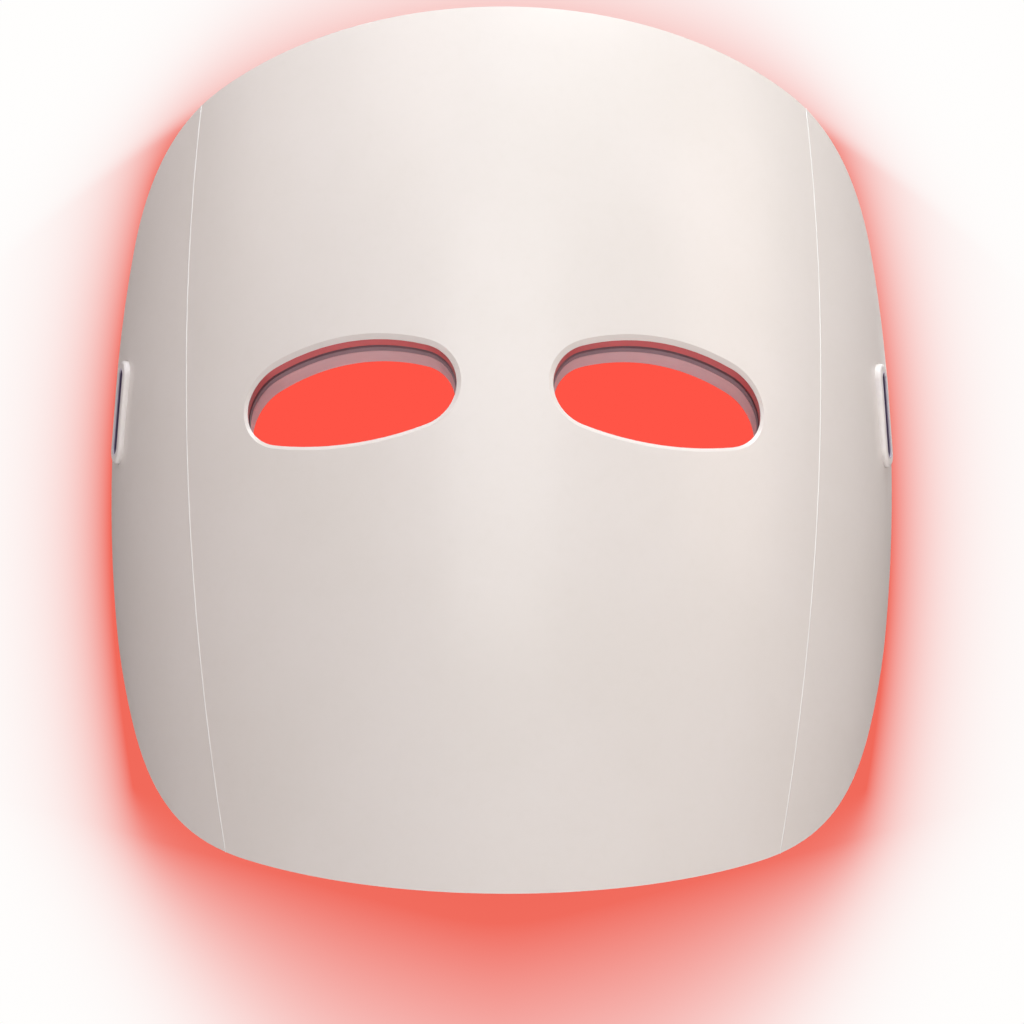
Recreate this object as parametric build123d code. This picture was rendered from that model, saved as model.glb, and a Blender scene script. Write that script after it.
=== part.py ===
from build123d import *
from math import asin, cos, degrees, hypot, radians, sin, sqrt
import os

# A rigid LED face mask: a white barrel-shaped visor over a curved stack of LED boards, with a clear
# window on the face side, two eye openings and a strap slot at each temple.
# Frame: +Z up, -Y the way the wearer looks, +X the wearer's left. The origin is on the barrel's
# upright axis, at the height of the eyes. Lengths are millimetres, angles are degrees.
# A depth is measured square to the outer skin, inwards; a theta goes round the axis from the front.

# --- Outer form ------------------------------------------------------------------------------------
HALF_WIDTH = 95.0  # radius of the widest level section
BULGE_RADIUS = 549.0  # radius of the upright arc that the skin follows
WIDEST_Z = 35.6  # height of the widest section
SEAM_THETA = 49.2  # where the side covers meet the front shell
SEAM_GAP = 0.3
SPAN_LOW_Z = -150.0  # the revolved stock reaches from here
SPAN_HIGH_Z = 130.0  # to here, past every trimmed edge
END_THETA = 89.0  # how far round the stock goes, past every trimmed edge
PAST = 1.0  # how far a cut runs past the face it opens

# Side outline: a five-line trim seen along X, with three rounded corners.
TOP_FRONT = (-110.0, 96.7)
TOP_CORNER = (-44.0, 77.6)
REAR_TIP = (-7.0, -23.5)
CHIN_CORNER = (-32.6, -81.9)
CHIN_FRONT = (-110.0, -129.5)
TOP_CORNER_RADIUS = 44.0
REAR_TIP_RADIUS = 30.0
CHIN_CORNER_RADIUS = 89.0

# --- The stack, as depths ----------------------------------------------------------------------------
COVER_WALL = 2.0
LAYER_GAP = 0.15
BOARD_DEPTH = 7.4
BOARD_WALL = 0.6
LED_ROOM = 1.9  # between the boards and the window
PANEL_WALL = 1.2
PANEL_DEPTH = BOARD_DEPTH + BOARD_WALL + LED_ROOM
MASK_DEPTH = PANEL_DEPTH + PANEL_WALL
RIM_WALL = 2.4  # the rim frame's band, seen from the side
BOARD_INSET = RIM_WALL + 0.6
PANEL_INSET = RIM_WALL + LAYER_GAP
BOARD_SEAM_ANGLE = 0.6  # half the gap between two boards at a seam, as an angle
STRIP_HALF_ANGLE = 2.2
STRIP_WALL = 1.85
LINK_HALF_ANGLE = 3.5
LINK_WALL = 0.3
LINK_GAP = 0.05
LINK_Z = -24.0
LINK_HEIGHT = 14.0

# --- Eye openings -------------------------------------------------------------------------------------
EYE_X = 33.5
EYE_HALF_LENGTH = 24.1
EYE_HALF_HEIGHT = 12.7
EYE_END_RADIUS = 10.5
EYE_LIP = 1.0  # the opening in the skin is this much inside the eye outline
EYE_CHAMFER = 1.0
EYE_CHAMFER_DEPTH = 0.75
TRIM_WALL = 1.2
TRIM_SEAT_DEPTH = 0.95
TRIM_SEAT_OVERLAP = 0.4
FLANGE_WALL = 1.6
FLANGE_DEPTH = 4.0
BEZEL_DEPTH = 4.75
BEZEL_WALL = 1.75
BEZEL_OUTSET = 3.0
BEZEL_INSET = 1.2
SHIELD_INSET = 1.3
SHIELD_OUTSET = 1.0
SHIELD_GAP = 0.05
SHIELD_FLANGE_OUTSET = 5.0
SHIELD_FLANGE_WALL = 0.8
EYE_CUT_OUTSET = 1.4  # opening in the boards and the window
EYE_RING_GAP = 0.1
EYE_NEAR_THETA = 2.0  # the rings round an eye opening lie between these angles
EYE_FAR_THETA = 48.0
SKIN_TOLERANCE = 0.05

# --- Strap slots --------------------------------------------------------------------------------------
STRAP_THETA = 70.2
STRAP_Z = 16.8
STRAP_TILT = 17.5  # the slot leans with the rear edge
STRAP_LENGTH = 20.0  # clear slot
STRAP_WIDTH = 3.6
STRAP_RING_WALL = 2.1
STRAP_SLEEVE_WALL = 1.0
STRAP_RING_HEIGHT = 1.1
STRAP_RING_SEAT = 0.6
STRAP_RING_ROUND = 0.7
STRAP_SLEEVE_PROUD = 0.4
STRAP_CLEARANCE = 0.15
STRAP_RING_GAP = 0.1

# --- LEDs ---------------------------------------------------------------------------------------------
LED_PITCH_THETA = 9.0
LED_PITCH_Z = 13.5
LED_COLUMNS = 8  # each side of the middle column
LED_LOW_Z = -94.5
LED_ROWS = 14
LED_BODY = 3.5
LED_BODY_HEIGHT = 0.8
LED_DOME_RADIUS = 1.45
LED_DOME_RISE = 0.85
LED_DOME_SINK = 0.4  # how far the lens reaches into the package
LED_SOLDER = 0.04
LED_EDGE_MARGIN = 4.6
LED_EYE_MARGIN = 5.4
LED_SEAM_MARGIN = 3.6  # an angle
LED_SCREW_MARGIN = 6.0
LED_STRAP_MARGIN_X = 11.0
LED_STRAP_MARGIN_Z = 17.0
LED_KINDS = ("red", "infrared", "blue")

# --- Screws and bosses ---------------------------------------------------------------------------------
BOSS_RADIUS = 2.7
SCREW_PILOT_RADIUS = 0.85
PILOT_FLOOR = 1.5  # left under a pilot hole, over the cover's wall
SCREW_RADIUS = 0.8
SCREW_HOLE_RADIUS = 1.2
SCREW_HEAD_RADIUS = 1.9
SCREW_HEAD_HEIGHT = 1.1
SCREW_HEAD_SEAT = 0.04
SCREW_LENGTH = 4.3
CROSS_LENGTH = 2.2
CROSS_WIDTH = 0.5
CROSS_DEPTH = 0.6
FRONT_SCREWS = ((0.0, 82.0), (40.5, 71.0), (40.5, -88.0), (40.5, 23.0), (15.0, -31.0))
SIDE_SCREWS = ((56.0, 48.0), (56.0, -62.0))

# --- Battery and electronics ---------------------------------------------------------------------------
BATTERY_Z = 53.0
BATTERY_WIDTH = 30.0
BATTERY_HEIGHT = 46.0
BATTERY_THICKNESS = 3.0
BATTERY_DEPTH = 3.9
BATTERY_PAD_WALL = 0.3
BATTERY_ROUND = 1.2
BATTERY_PAD_INSET = 5.0
LEAD_RADIUS = 0.5
LEAD_SPACING = 1.5
LEAD_GAP = 0.05

CONTROL_Z = -88.5
CONTROL_WIDTH = 34.0
CONTROL_HEIGHT = 24.0
CONTROL_WALL = 1.0
CONTROL_DEPTH = 4.5
POST_X = 14.5
POST_HIGH_Y = 9.5
POST_LOW_Y = -4.0
POST_RADIUS = 2.0
POST_HEIGHT = 2.0
POST_SCREW_LENGTH = 2.1
POST_PILOT_LENGTH = 2.5
POST_GAP = 0.05  # between a post and the board
CONTROL_CORNER_RADIUS = 2.0
CHIP_SIZE = 6.0
CHIP_HEIGHT = 0.9
INDUCTOR_SIZE = 4.4
INDUCTOR_HEIGHT = 1.6
BUZZER_RADIUS = 3.5
BUZZER_HEIGHT = 1.5
BUZZER_PLACE = (9.5, 2.0)
CHIP_PLACE = (-9.0, 0.0)
INDUCTOR_PLACE = (1.5, 3.0)
PLUG_WIDTH = 6.0
PLUG_HEIGHT = 4.4
PLUG_THICKNESS = 1.6
LEAD_DEPTH = CONTROL_DEPTH + CONTROL_WALL + PLUG_THICKNESS / 2
RIBBON_WIDTH = 7.0
RIBBON_WALL = 0.25
RIBBON_X = 8.0
RIBBON_Y = 5.0
RIBBON_FOOT = 7.0  # lies on the control board
RIBBON_RUN = 2.0  # climbs to the LED board
RIBBON_TAIL = 4.0  # lies on the LED board
RIBBON_GAP = 0.2
RIBBON_BEND = 0.9

USB_WIDTH = 8.94
USB_THICKNESS = 3.2
USB_LENGTH = 10.0
USB_WALL = 0.3
USB_TONGUE_WIDTH = 6.7
USB_TONGUE_THICKNESS = 0.7
USB_RECESS = 0.3
USB_FLOOR = 2.0
USB_TONGUE_SHORT = 3.0  # the tongue is this much shorter than the shell
USB_CLEARANCE = 0.2
USB_NOTCH_GAP = 0.2  # round the socket where it is sunk in the control board
USB_DEPTH = CONTROL_DEPTH + CONTROL_WALL / 2
BUTTON_X = 13.0
BUTTON_LENGTH = 7.0
BUTTON_THICKNESS = 3.0
BUTTON_PROUD = 1.0
BUTTON_ROUND = 0.6
BUTTON_TRAVEL = 0.6
BUTTON_COLLAR = 0.5  # how far the collar stands out round the button
BUTTON_COLLAR_WALL = 0.9
BUTTON_DEPTH = 6.0
BUTTON_CLEARANCE = 0.12
BUTTON_SLOPE_ROOM = 1.6  # the collar's far side meets the sloping rim first
SWITCH_SIZE = 4.2
SWITCH_BODY = 1.6
SWITCH_NUB = 0.7
SWITCH_GAP = 0.1
SWITCH_SOLDER = 0.02
SWITCH_NUB_RADIUS = 0.6
LIGHT_PIPE_X = 7.2
LIGHT_PIPE_RADIUS = 0.7
LIGHT_PIPE_PROUD = 0.2
LIGHT_PIPE_GAP = 0.4

# --- Face-side pads ------------------------------------------------------------------------------------
PAD_SEAT = 0.15  # film of adhesive between a pad and the window
PAD_THICKNESS = 4.0
PAD_CORNER_SHORT = 0.5  # a pad's corner radius is this much less than half its width
PAD_SPAN_THETA = 40.0
PAD_REACH = 15.0
FOREHEAD_PAD = (0.0, 66.0, 40.0, 11.0)  # theta, z, width, height
NOSE_PAD_GAP = 0.6
NOSE_PAD_WIDTH = 2 * (EYE_X - EYE_HALF_LENGTH - SHIELD_FLANGE_OUTSET - NOSE_PAD_GAP)
NOSE_PAD = (0.0, 5.0, NOSE_PAD_WIDTH, 21.0)
CHEEK_PAD = (38.0, -51.0, 13.0, 22.0)


def skin_radius(z, depth=0.0):
    """Level radius of the surface that lies depth under the skin, at height z."""
    return HALF_WIDTH - BULGE_RADIUS + sqrt((BULGE_RADIUS - depth) ** 2 - (z - WIDEST_Z) ** 2)


def seat(theta, z):
    """Plane on the skin: its x goes round the mask, its y goes up and its z points out."""
    lean = asin((z - WIDEST_Z) / BULGE_RADIUS)
    turn = radians(theta)
    radius = skin_radius(z)
    return Plane(
        origin=(radius * sin(turn), -radius * cos(turn), z),
        x_dir=(cos(turn), sin(turn), 0),
        z_dir=(cos(lean) * sin(turn), -cos(lean) * cos(turn), sin(lean)),
    )


def at_depth(theta, z, depth):
    """Placement on the skin at theta and z, moved inwards by depth."""
    return Location(seat(theta, z)) * Pos(0, 0, -depth)


def stock(outer_depth, inner_depth, from_theta, to_theta):
    """Untrimmed curved wall between two depths and two angles."""
    outer = [(skin_radius(z, outer_depth), z) for z in (SPAN_HIGH_Z, WIDEST_Z, SPAN_LOW_Z)]
    inner = [(skin_radius(z, inner_depth), z) for z in (SPAN_LOW_Z, WIDEST_Z, SPAN_HIGH_Z)]
    turn = radians(from_theta)
    plane = Plane(origin=(0, 0, 0), x_dir=(sin(turn), -cos(turn), 0), z_dir=(-cos(turn), -sin(turn), 0))
    edges = [
        ThreePointArc(*outer),
        Line(outer[-1], inner[0]),
        ThreePointArc(*inner),
        Line(inner[-1], outer[0]),
    ]
    profile = plane * make_face(edges)
    return revolve(profile, axis=Axis.Z, revolution_arc=to_theta - from_theta)


def side_trim(inset=0.0):
    """Prism along X of the side outline, drawn in by inset."""
    plane = Plane(origin=(0, 0, 0), x_dir=(0, 1, 0), z_dir=(1, 0, 0))
    corners = [TOP_FRONT, TOP_CORNER, REAR_TIP, CHIN_CORNER, CHIN_FRONT]
    radii = [TOP_CORNER_RADIUS, REAR_TIP_RADIUS, CHIN_CORNER_RADIUS]
    path = FilletPolyline(*corners, radius=radii)
    outline = make_face([*path.edges(), Line(CHIN_FRONT, TOP_FRONT)])
    if inset:
        outline = offset(outline, amount=-inset, kind=Kind.INTERSECTION)
    reach = HALF_WIDTH + 10
    return extrude(plane * outline, amount=reach, both=True)


def layer(outer_depth, inner_depth, inset=0.0, from_theta=-END_THETA, to_theta=END_THETA):
    """Curved wall between two depths, trimmed to the side outline."""
    return stock(outer_depth, inner_depth, from_theta, to_theta) & side_trim(inset)


def eye_prism(side, grow):
    """Prism along Y of one eye outline, grown by grow; side is 1 for the wearer's left."""
    a, b, r = (v + grow for v in (EYE_HALF_LENGTH, EYE_HALF_HEIGHT, EYE_END_RADIUS))
    flank = ((a - r) ** 2 + b**2 - r**2) / (2 * (b - r))
    reach = hypot(a - r, flank - b)
    tx = flank * (a - r) / reach
    tz = flank * (flank - b) / reach - (flank - b)
    arcs = [
        ThreePointArc((-tx, tz), (0, b), (tx, tz)),
        ThreePointArc((tx, tz), (a, 0), (tx, -tz)),
        ThreePointArc((tx, -tz), (0, -b), (-tx, -tz)),
        ThreePointArc((-tx, -tz), (-a, 0), (-tx, tz)),
    ]
    plane = Plane(origin=(side * EYE_X, -20, 0), x_dir=(1, 0, 0), z_dir=(0, -1, 0))
    return extrude(plane * make_face(arcs), amount=HALF_WIDTH)


def eye_span(side):
    """Angles that the rings round one eye opening lie between."""
    return sorted((side * EYE_NEAR_THETA, side * EYE_FAR_THETA))


def eye_ring(side, outer_depth, inner_depth, outset, inset):
    """Ring round one eye opening between two depths."""
    wall = stock(outer_depth, inner_depth, *eye_span(side))
    return (wall & eye_prism(side, outset)) - eye_prism(side, -inset)


def strap_place(side):
    """Placement of a strap slot on the skin; its y runs along the slot."""
    return Location(seat(side * STRAP_THETA, STRAP_Z)) * Rot(0, 0, side * STRAP_TILT)


def strap_prism(side, grow, top, bottom):
    """Rounded prism of the strap slot, grown by grow, from height top down to bottom."""
    width = STRAP_WIDTH + 2 * grow
    slot = SlotOverall(STRAP_LENGTH + 2 * grow, width, rotation=90)
    return strap_place(side) * Pos(0, 0, bottom) * extrude(slot, amount=top - bottom)


def rod(theta, z, top_depth, bottom_depth, radius):
    """Round bar square to the skin between two depths."""
    length = bottom_depth - top_depth
    return at_depth(theta, z, bottom_depth) * extrude(Circle(radius), amount=length)


def both_sides(places):
    """Each place on the right and the left, and a place on the middle once."""
    return [(side * theta, z) for theta, z in places for side in (-1, 1) if theta or side > 0]


def screw_places():
    """(theta, z) of every screw that holds a LED board to a cover."""
    return both_sides(FRONT_SCREWS) + both_sides(SIDE_SCREWS)


def cut_all(body, tools):
    """Body with every tool taken off in one cut."""
    return body - Compound(children=list(tools))


# --- LED layout ----------------------------------------------------------------------------------------
def outline_gap(y, z):
    """Distance from a point to the side outline's straight lines, positive inside."""
    corners = [TOP_FRONT, TOP_CORNER, REAR_TIP, CHIN_CORNER, CHIN_FRONT]
    gaps = []
    for (y0, z0), (y1, z1) in zip(corners, corners[1:]):
        length = hypot(y1 - y0, z1 - z0)
        gaps.append(((z1 - z0) * (y - y0) - (y1 - y0) * (z - z0)) / length)
    return min(gaps)


def near_eye(x, z, margin):
    """True where a point seen from the front is inside an eye outline grown by margin."""
    a, b = EYE_HALF_LENGTH + margin, EYE_HALF_HEIGHT + margin
    return ((abs(x) - EYE_X) / a) ** 2 + (z / b) ** 2 < 1


def near_strap(theta, z):
    """True where a LED would touch a strap sleeve."""
    round_gap = abs(abs(theta) - STRAP_THETA) * radians(1) * HALF_WIDTH
    return round_gap < LED_STRAP_MARGIN_X and abs(z - STRAP_Z) < LED_STRAP_MARGIN_Z


def near_screw(theta, z):
    """True where a LED would touch a screw."""
    scale = radians(1) * skin_radius(z)
    return any(hypot((theta - t) * scale, z - h) < LED_SCREW_MARGIN for t, h in screw_places())


def led_places():
    """(theta, z, kind) of every LED."""
    places = []
    for row in range(LED_ROWS):
        z = LED_LOW_Z + row * LED_PITCH_Z
        for column in range(-LED_COLUMNS, LED_COLUMNS + 1):
            theta = column * LED_PITCH_THETA
            radius = skin_radius(z, BOARD_DEPTH)
            x = radius * sin(radians(theta))
            y = -radius * cos(radians(theta))
            on_seam = abs(abs(theta) - SEAM_THETA) < LED_SEAM_MARGIN
            if on_seam or outline_gap(y, z) < BOARD_INSET + LED_EDGE_MARGIN:
                continue
            if near_eye(x, z, LED_EYE_MARGIN) or near_strap(theta, z) or near_screw(theta, z):
                continue
            places.append((theta, z, LED_KINDS[(row + 2 * abs(column)) % len(LED_KINDS)]))
    return places


def led():
    """One LED package facing inwards, on the board's face-side surface."""
    body = Pos(0, 0, -LED_BODY_HEIGHT / 2) * Box(LED_BODY, LED_BODY, LED_BODY_HEIGHT)
    drop = LED_BODY_HEIGHT + LED_DOME_RISE - LED_DOME_RADIUS
    dome = Pos(0, 0, -drop) * Sphere(LED_DOME_RADIUS)
    root = LED_BODY_HEIGHT - LED_DOME_SINK
    dome &= Pos(0, 0, -root - LED_BODY / 2) * Box(LED_BODY, LED_BODY, LED_BODY)
    return body + dome


def leds(kind):
    """All the LEDs of one kind."""
    package = led()
    depth = BOARD_DEPTH + BOARD_WALL + LED_SOLDER
    return [at_depth(t, z, depth) * package for t, z, k in led_places() if k == kind]


# --- Covers --------------------------------------------------------------------------------------------
def boss(theta, z):
    """Screw boss that stands on the inside of a cover, with its pilot hole."""
    return rod(theta, z, COVER_WALL / 2, BOARD_DEPTH - LAYER_GAP, BOSS_RADIUS)


def pilot(theta, z):
    """Blind pilot hole of a boss."""
    return rod(theta, z, COVER_WALL + PILOT_FLOOR, BOARD_DEPTH + PAST, SCREW_PILOT_RADIUS)


def lip_edges(shell, side):
    """Edges of one eye opening that lie on the skin."""
    edges = []
    for edge in shell.edges():
        middle = edge @ 0.5
        on_skin = abs(hypot(middle.X, middle.Y) - skin_radius(middle.Z)) < SKIN_TOLERANCE
        by_eye = abs(middle.X - side * EYE_X) < EYE_HALF_LENGTH and abs(middle.Z) < EYE_HALF_HEIGHT
        if on_skin and by_eye:
            edges.append(edge)
    return edges


def chamfer_lip(shell, side):
    """Front shell with one eye opening's outer edge cut back, wider on the skin than it is deep."""
    skin = max(shell.faces(), key=lambda face: face.area)
    return shell.chamfer(EYE_CHAMFER, EYE_CHAMFER_DEPTH, lip_edges(shell, side), face=skin)


def post_places():
    """(x, y) of each control board post on the chin's plane."""
    return [(x, y) for x in (-POST_X, POST_X) for y in (POST_LOW_Y, POST_HIGH_Y)]


def post(x, y, top_depth, radius):
    """Round bar under the control board, from top_depth in to the board."""
    bottom = CONTROL_DEPTH - POST_GAP
    bar = extrude(Circle(radius), amount=bottom - top_depth)
    return control_place(bottom) * Pos(x, y, 0) * bar


def front_shell():
    """White front cover with its two eye openings and its screw bosses."""
    edge = SEAM_THETA - degrees(SEAM_GAP / 2 / HALF_WIDTH)
    shell = layer(0, COVER_WALL, 0, -edge, edge)
    for side in (-1, 1):
        flange = stock(TRIM_SEAT_DEPTH - TRIM_SEAT_OVERLAP, FLANGE_DEPTH, *eye_span(side))
        shell += flange & eye_prism(side, TRIM_WALL - EYE_LIP + FLANGE_WALL)
    for side in (-1, 1):
        seat_cut = stock(TRIM_SEAT_DEPTH, FLANGE_DEPTH + PAST, *eye_span(side))
        shell -= seat_cut & eye_prism(side, TRIM_WALL - EYE_LIP + LAYER_GAP)
        shell -= eye_prism(side, -EYE_LIP)
        shell = chamfer_lip(shell, side)
    places = both_sides(FRONT_SCREWS)
    for theta, z in places:
        shell += boss(theta, z)
    for x, y in post_places():
        shell += post(x, y, CONTROL_DEPTH - POST_HEIGHT, POST_RADIUS)
    floor = CONTROL_DEPTH + CONTROL_WALL - POST_PILOT_LENGTH
    pilots = [pilot(theta, z) for theta, z in places]
    pilots += [post(x, y, floor, SCREW_PILOT_RADIUS) for x, y in post_places()]
    return cut_all(shell, pilots)


def side_cover(side):
    """White temple cover with its strap slot and its screw bosses."""
    start = SEAM_THETA + degrees(SEAM_GAP / 2 / HALF_WIDTH)
    cover = layer(0, COVER_WALL, 0, *sorted((side * start, side * END_THETA)))
    cover -= strap_prism(side, STRAP_RING_WALL + STRAP_CLEARANCE, STRAP_RING_HEIGHT, -STRAP_RING_SEAT)
    cover -= strap_prism(side, STRAP_SLEEVE_WALL + STRAP_CLEARANCE, STRAP_RING_HEIGHT, -COVER_WALL - PAST)
    for theta, z in SIDE_SCREWS:
        cover += boss(side * theta, z)
    return cut_all(cover, [pilot(side * theta, z) for theta, z in SIDE_SCREWS])


def seam_strip(side):
    """Joining strip behind a seam."""
    span = sorted((side * (SEAM_THETA - STRIP_HALF_ANGLE), side * (SEAM_THETA + STRIP_HALF_ANGLE)))
    outer_depth = COVER_WALL + LAYER_GAP
    return layer(outer_depth, outer_depth + STRIP_WALL, BOARD_INSET, *span)


def sleeve_hole(side):
    """Prism that clears a strap sleeve through the whole stack."""
    return strap_prism(side, STRAP_SLEEVE_WALL + STRAP_CLEARANCE, PAST, -MASK_DEPTH - 3 * PAST)


def strap_ring(side):
    """Raised ring and sleeve that line a strap slot."""
    outline = SlotOverall(STRAP_LENGTH + 2 * STRAP_RING_WALL, STRAP_WIDTH + 2 * STRAP_RING_WALL, rotation=90)
    seat_height = -STRAP_RING_SEAT + STRAP_RING_GAP
    ring = Pos(0, 0, seat_height) * extrude(outline, amount=STRAP_RING_HEIGHT - seat_height)
    ring = fillet(ring.faces().sort_by(Axis.Z)[-1].edges(), STRAP_RING_ROUND)
    ring = strap_place(side) * ring
    sleeve_end = -MASK_DEPTH - STRAP_SLEEVE_PROUD
    ring += strap_prism(side, STRAP_SLEEVE_WALL, 0, sleeve_end)
    return ring - strap_prism(side, 0, STRAP_RING_HEIGHT + PAST, sleeve_end - PAST)


# --- Chin interface: control board, socket and buttons -------------------------------------------------
def control_place(depth):
    """Placement on the chin's plane, moved inwards by depth."""
    return at_depth(0, CONTROL_Z, depth)


def chin_reach(depth, inset=0.0):
    """How far down the chin's plane the rim face lies, at a depth and drawn in by inset."""
    plane = seat(0, CONTROL_Z)
    start = plane.origin - plane.z_dir * depth
    y0, z0 = start.Y, start.Z
    dy, dz = -plane.y_dir.Y, -plane.y_dir.Z
    (ya, za), (yb, zb) = CHIN_CORNER, CHIN_FRONT
    ny, nz = (zb - za), -(yb - ya)
    length = hypot(ny, nz)
    gap = ((y0 - ya) * ny + (z0 - za) * nz) / length
    rate = (dy * ny + dz * nz) / length
    return (gap - inset if gap > 0 else gap + inset) / -rate


def downwards(x, depth, start):
    """Placement at x on the chin's plane, start below its centre, whose z points down to the rim."""
    return control_place(depth) * Pos(x, -start, 0) * Rot(90, 0, 0)


def control_board():
    """Flat circuit board behind the chin."""
    outline = RectangleRounded(CONTROL_WIDTH, CONTROL_HEIGHT, CONTROL_CORNER_RADIUS)
    holes = Sketch() + [Pos(x, y) * Circle(SCREW_HOLE_RADIUS) for x, y in post_places()]
    inner_end = chin_reach(USB_DEPTH) - USB_RECESS - USB_LENGTH
    notch = CONTROL_HEIGHT / 2 - inner_end + USB_NOTCH_GAP
    holes += Pos(0, (notch - CONTROL_HEIGHT) / 2) * Rectangle(USB_WIDTH + 2 * USB_NOTCH_GAP, notch)
    return control_place(CONTROL_DEPTH + CONTROL_WALL) * extrude(outline - holes, amount=CONTROL_WALL)


def on_board(x, y, size, height):
    """Square component on the control board's face side."""
    lift = CONTROL_DEPTH + CONTROL_WALL + height / 2
    return control_place(lift) * Pos(x, y, 0) * Box(size, size, height)


def usb_socket():
    """USB-C receptacle: a metal shell with its tongue."""
    end = chin_reach(USB_DEPTH) - USB_RECESS
    shell = SlotOverall(USB_WIDTH, USB_THICKNESS)
    mouth = offset(shell, amount=-USB_WALL)
    place = downwards(0, USB_DEPTH, end - USB_LENGTH)
    body = extrude(shell, amount=USB_LENGTH) - Pos(0, 0, USB_FLOOR) * extrude(mouth, amount=USB_LENGTH)
    tongue = Box(USB_TONGUE_WIDTH, USB_TONGUE_THICKNESS, USB_LENGTH - USB_TONGUE_SHORT)
    lift = USB_FLOOR + (USB_LENGTH - USB_TONGUE_SHORT - USB_FLOOR) / 2
    return place * (body + Pos(0, 0, lift) * tongue)


def button(x):
    """Long push button with a rounded end and a collar that keeps it in, and where its inner face is."""
    face = chin_reach(BUTTON_DEPTH)
    inner = chin_reach(BUTTON_DEPTH, RIM_WALL)
    collar_top = inner - BUTTON_SLOPE_ROOM
    stem_top = collar_top - BUTTON_COLLAR_WALL
    length = face + BUTTON_PROUD - collar_top
    cap = extrude(SlotOverall(BUTTON_LENGTH, BUTTON_THICKNESS), amount=length)
    cap = fillet(cap.faces().sort_by(Axis.Z)[-1].edges(), BUTTON_ROUND)
    flange = SlotOverall(BUTTON_LENGTH + 2 * BUTTON_COLLAR, BUTTON_THICKNESS + 2 * BUTTON_COLLAR)
    collar = Pos(0, 0, -BUTTON_COLLAR_WALL) * extrude(flange, amount=BUTTON_COLLAR_WALL)
    return downwards(x, BUTTON_DEPTH, collar_top) * (cap + collar), stem_top


def tact_switch(x, stem_top):
    """Switch on the board that a button pushes."""
    body = Box(SWITCH_SIZE, SWITCH_BODY, SWITCH_BODY)
    top = stem_top - BUTTON_TRAVEL - SWITCH_GAP - SWITCH_NUB
    place = downwards(x, CONTROL_DEPTH + CONTROL_WALL + SWITCH_BODY / 2 + SWITCH_SOLDER, top)
    nub = extrude(Circle(SWITCH_NUB_RADIUS), amount=SWITCH_NUB)
    return place * (Pos(0, 0, -SWITCH_BODY / 2) * body + nub)


def light_pipe():
    """Clear rod that carries the status light to the rim."""
    end = chin_reach(BUTTON_DEPTH) + LIGHT_PIPE_PROUD
    start = CONTROL_HEIGHT / 2 + LIGHT_PIPE_GAP
    rod_shape = extrude(Circle(LIGHT_PIPE_RADIUS), amount=end - start)
    return downwards(LIGHT_PIPE_X, BUTTON_DEPTH, start) * rod_shape


def rim_frame():
    """Band round the edge that joins the covers to the window, pierced at the chin."""
    band = layer(COVER_WALL + LAYER_GAP, MASK_DEPTH) - side_trim(RIM_WALL)
    start = CONTROL_HEIGHT / 2
    reach = chin_reach(0) + PAST - start
    gap = 2 * BUTTON_CLEARANCE
    hole = extrude(SlotOverall(BUTTON_LENGTH + gap, BUTTON_THICKNESS + gap), amount=reach)
    for x in (-BUTTON_X, BUTTON_X):
        band -= downwards(x, BUTTON_DEPTH, start) * hole
    pipe = extrude(Circle(LIGHT_PIPE_RADIUS + BUTTON_CLEARANCE), amount=reach)
    band -= downwards(LIGHT_PIPE_X, BUTTON_DEPTH, start) * pipe
    gap = 2 * USB_CLEARANCE
    socket = extrude(SlotOverall(USB_WIDTH + gap, USB_THICKNESS + gap), amount=reach)
    band -= downwards(0, USB_DEPTH, start) * socket
    for side in (-1, 1):
        band -= sleeve_hole(side)
    return band


# --- Stack ---------------------------------------------------------------------------------------------
def pierced(wall):
    """Wall with its eye openings and strap openings."""
    for side in (-1, 1):
        wall -= eye_prism(side, EYE_CUT_OUTSET)
        wall -= sleeve_hole(side)
    return wall


def led_board(from_theta, to_theta):
    """Flexible LED board between two angles."""
    face_side = BOARD_DEPTH + BOARD_WALL
    wall = pierced(layer(BOARD_DEPTH, face_side, BOARD_INSET, from_theta, to_theta))
    screws = [(theta, z) for theta, z in screw_places() if from_theta < theta < to_theta]
    holes = [rod(theta, z, BOARD_DEPTH - PAST, face_side + PAST, SCREW_HOLE_RADIUS) for theta, z in screws]
    return cut_all(wall, holes)


def inner_panel():
    """Clear window on the face side."""
    return pierced(layer(PANEL_DEPTH, MASK_DEPTH, PANEL_INSET))


def board_link(side):
    """Flexible link between the middle board and a side board."""
    span = sorted((side * (SEAM_THETA - LINK_HALF_ANGLE), side * (SEAM_THETA + LINK_HALF_ANGLE)))
    inner_depth = BOARD_DEPTH - LINK_GAP
    wall = stock(inner_depth - LINK_WALL, inner_depth, *span)
    return wall & Pos(0, 0, LINK_Z) * Box(2 * HALF_WIDTH, 2 * HALF_WIDTH, LINK_HEIGHT)


def screw(length):
    """Cross-head screw, head on the near side of z = 0 and its shank going up."""
    head = Pos(0, 0, -SCREW_HEAD_HEIGHT) * extrude(Circle(SCREW_HEAD_RADIUS), amount=SCREW_HEAD_HEIGHT)
    shank = extrude(Circle(SCREW_RADIUS), amount=length)
    cross = Box(CROSS_LENGTH, CROSS_WIDTH, 2 * CROSS_DEPTH) + Box(CROSS_WIDTH, CROSS_LENGTH, 2 * CROSS_DEPTH)
    return head + shank - Pos(0, 0, -SCREW_HEAD_HEIGHT) * cross


def shell_screws():
    """Every screw that holds a LED board to a cover."""
    depth = BOARD_DEPTH + BOARD_WALL + SCREW_HEAD_SEAT
    return [at_depth(theta, z, depth) * screw(SCREW_LENGTH) for theta, z in screw_places()]


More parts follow.
